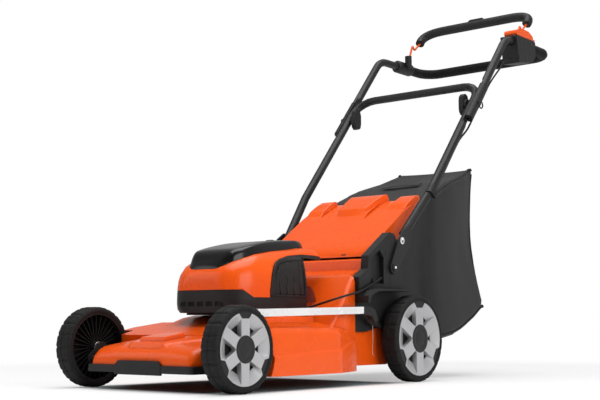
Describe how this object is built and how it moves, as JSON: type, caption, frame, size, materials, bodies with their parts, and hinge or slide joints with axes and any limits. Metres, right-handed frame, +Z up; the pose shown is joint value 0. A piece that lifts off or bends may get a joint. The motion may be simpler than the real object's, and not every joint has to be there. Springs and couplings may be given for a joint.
{
  "type": "lawn mower",
  "caption": "Cordless lawn mower with linked height-adjustable wheels, blade, battery under a lid, folding two-part handle with bail and a rear grass bag.",
  "frame": {"origin": "middle of the overall box's base, on the ground", "axes": "+Z up, +X the mower's left side, -Y the way it drives"},
  "size_m": [0.462, 1.44, 1.0455],
  "materials": {
    "orange_moulding": "glossy orange moulding",
    "dark_moulding": "satin dark grey moulding",
    "gloss_black": "gloss black moulding",
    "tyre_rubber": "matt dark rubber",
    "silver_paint": "satin silver paint on a moulding",
    "tube_paint": "satin dark powder coat",
    "grip_foam": "matt dark foam",
    "bag_fabric": "dark woven cloth",
    "rod_coating": "bright silver-white coating",
    "zinc_steel": "zinc plated",
    "orange_wire": "orange powder coat",
    "cable_jacket": "satin black jacket"
  },
  "bodies": {
    "grass_bag": {"bag_base": "dark_moulding", "bag_fabric": "bag_fabric", "bag_frame": "dark_moulding", "bag_handle": "dark_moulding"},
    "bail": {"bail_grip": "grip_foam", "bail_wire": "orange_wire"},
    "battery_lid_body": {"battery_lid": "gloss_black"},
    "battery": {"battery_pack": "dark_moulding"},
    "blade_rotor": {"blade": "zinc_steel", "blade_bolt": "zinc_steel", "blade_holder": "zinc_steel", "motor_shaft": "zinc_steel"},
    "deck": {"bracket_left": "dark_moulding", "bracket_right": "dark_moulding", "cable_deck": "cable_jacket", "deck_shell": "orange_moulding", "flap_pin": "zinc_steel", "front_bumper": "dark_moulding", "motor_base": "dark_moulding", "motor_can": "zinc_steel", "motor_cover": "orange_moulding", "pivot_bolt_left": "zinc_steel", "pivot_bolt_right": "zinc_steel"},
    "lower_handle_body": {"cable_lower": "cable_jacket", "knob_bolt_left": "dark_moulding", "knob_bolt_right": "dark_moulding", "lock_bolt_left": "zinc_steel", "lock_bolt_right": "zinc_steel", "lower_handle": "tube_paint"},
    "upper_handle": {"cable_ring": "cable_jacket", "cable_upper": "cable_jacket", "grip_clamp": "dark_moulding", "grip_loop": "grip_foam", "sleeve_left": "dark_moulding", "sleeve_right": "dark_moulding", "switch_box": "dark_moulding", "switch_cover": "orange_moulding", "upper_handle_left": "tube_paint", "upper_handle_right": "tube_paint"},
    "front_axle_body": {"front_axle": "zinc_steel"},
    "front_left_wheel": {"front_left_hubcap": "silver_paint", "front_left_rim": "dark_moulding", "front_left_tyre": "tyre_rubber"},
    "front_right_wheel": {"front_right_hubcap": "silver_paint", "front_right_rim": "dark_moulding", "front_right_tyre": "tyre_rubber"},
    "link_rod_body": {"height_handle": "dark_moulding", "link_rod": "rod_coating"},
    "knob_left_body": {"knob_left": "dark_moulding"},
    "knob_right_body": {"knob_right": "dark_moulding"},
    "rear_axle_body": {"rear_axle": "zinc_steel"},
    "rear_flap_body": {"rear_flap": "orange_moulding"},
    "rear_left_wheel": {"rear_left_hubcap": "silver_paint", "rear_left_rim": "dark_moulding", "rear_left_tyre": "tyre_rubber"},
    "rear_right_wheel": {"rear_right_hubcap": "silver_paint", "rear_right_rim": "dark_moulding", "rear_right_tyre": "tyre_rubber"},
    "safety_key_body": {"safety_key": "orange_wire"},
    "start_button_body": {"start_button": "orange_moulding"}
  },
  "joints": [
    {"name": "front_left_spin", "type": "hinge", "parent": "front_axle_body", "child": "front_left_wheel", "pos_m": [0.21, -0.635, 0.085], "axis": [1, 0, 0], "continuous": true},
    {"name": "front_right_spin", "type": "hinge", "parent": "front_axle_body", "child": "front_right_wheel", "pos_m": [-0.21, -0.635, 0.085], "axis": [1, 0, 0], "continuous": true},
    {"name": "rear_left_spin", "type": "hinge", "parent": "rear_axle_body", "child": "rear_left_wheel", "pos_m": [0.21, -0.029, 0.1], "axis": [1, 0, 0], "continuous": true},
    {"name": "rear_right_spin", "type": "hinge", "parent": "rear_axle_body", "child": "rear_right_wheel", "pos_m": [-0.21, -0.029, 0.1], "axis": [1, 0, 0], "continuous": true},
    {"name": "height_adjust", "type": "hinge", "parent": "deck", "child": "front_axle_body", "pos_m": [0, -0.66181, 0.0625], "axis": [-1, 0, 0], "range_deg": [0, 80]},
    {"name": "rear_axle_turn", "type": "hinge", "parent": "deck", "child": "rear_axle_body", "pos_m": [0, -0.05581, 0.0775], "axis": [-1, 0, 0], "range_deg": [0, 80]},
    {"name": "link_rod_turn", "type": "hinge", "parent": "front_axle_body", "child": "link_rod_body", "pos_m": [0, -0.68181, 0.105], "axis": [-1, 0, 0], "range_deg": [-80, 0]},
    {"name": "blade_spin", "type": "hinge", "parent": "deck", "child": "blade_rotor", "pos_m": [0, -0.41, 0.0445], "axis": [0, 0, 1], "continuous": true},
    {"name": "battery_lid_open", "type": "hinge", "parent": "deck", "child": "battery_lid_body", "pos_m": [0, -0.25, 0.3045], "axis": [1, 0, 0], "range_deg": [-60, 0]},
    {"name": "battery_lift", "type": "slide", "parent": "deck", "child": "battery", "axis": [0, 0, 1], "range_m": [0, 0.006]},
    {"name": "safety_key_lift", "type": "slide", "parent": "deck", "child": "safety_key_body", "axis": [0, 0, 1], "range_m": [0, 0.006]},
    {"name": "rear_flap_open", "type": "hinge", "parent": "deck", "child": "rear_flap_body", "pos_m": [0, -0.123, 0.2955], "axis": [1, 0, 0], "range_deg": [0, 45]},
    {"name": "bag_lift_off", "type": "slide", "parent": "deck", "child": "grass_bag", "axis": [0, 1, 0], "range_m": [0, 0.25]},
    {"name": "lower_handle_fold", "type": "hinge", "parent": "deck", "child": "lower_handle_body", "pos_m": [0, -0.0798, 0.2635], "axis": [-1, 0, 0], "range_deg": [-115, 0]},
    {"name": "upper_handle_fold", "type": "hinge", "parent": "lower_handle_body", "child": "upper_handle", "pos_m": [0, 0.27893, 0.70475], "axis": [1, 0, 0], "range_deg": [0, 150]},
    {"name": "knob_left_turn", "type": "hinge", "parent": "lower_handle_body", "child": "knob_left_body", "pos_m": [0.188, 0.27893, 0.70475], "axis": [1, 0, 0], "range_deg": [0, 360]},
    {"name": "knob_right_turn", "type": "hinge", "parent": "lower_handle_body", "child": "knob_right_body", "pos_m": [-0.188, 0.27893, 0.70475], "axis": [-1, 0, 0], "range_deg": [0, 360]},
    {"name": "bail_pull", "type": "hinge", "parent": "upper_handle", "child": "bail", "pos_m": [0, 0.566, 0.936], "axis": [-1, 0, 0], "range_deg": [0, 45], "stiffness_Nm_per_rad": 1.2, "springref_deg": -28.65},
    {"name": "start_button_press", "type": "slide", "parent": "upper_handle", "child": "start_button_body", "axis": [0, 0, -1], "range_m": [0, 0.003], "stiffness_N_per_m": 300, "springref_m": -0.002}
  ],
  "couplings": [
    {"joint": "rear_axle_turn", "follows": "height_adjust", "ratio": 1},
    {"joint": "link_rod_turn", "follows": "height_adjust", "ratio": -1}
  ]
}
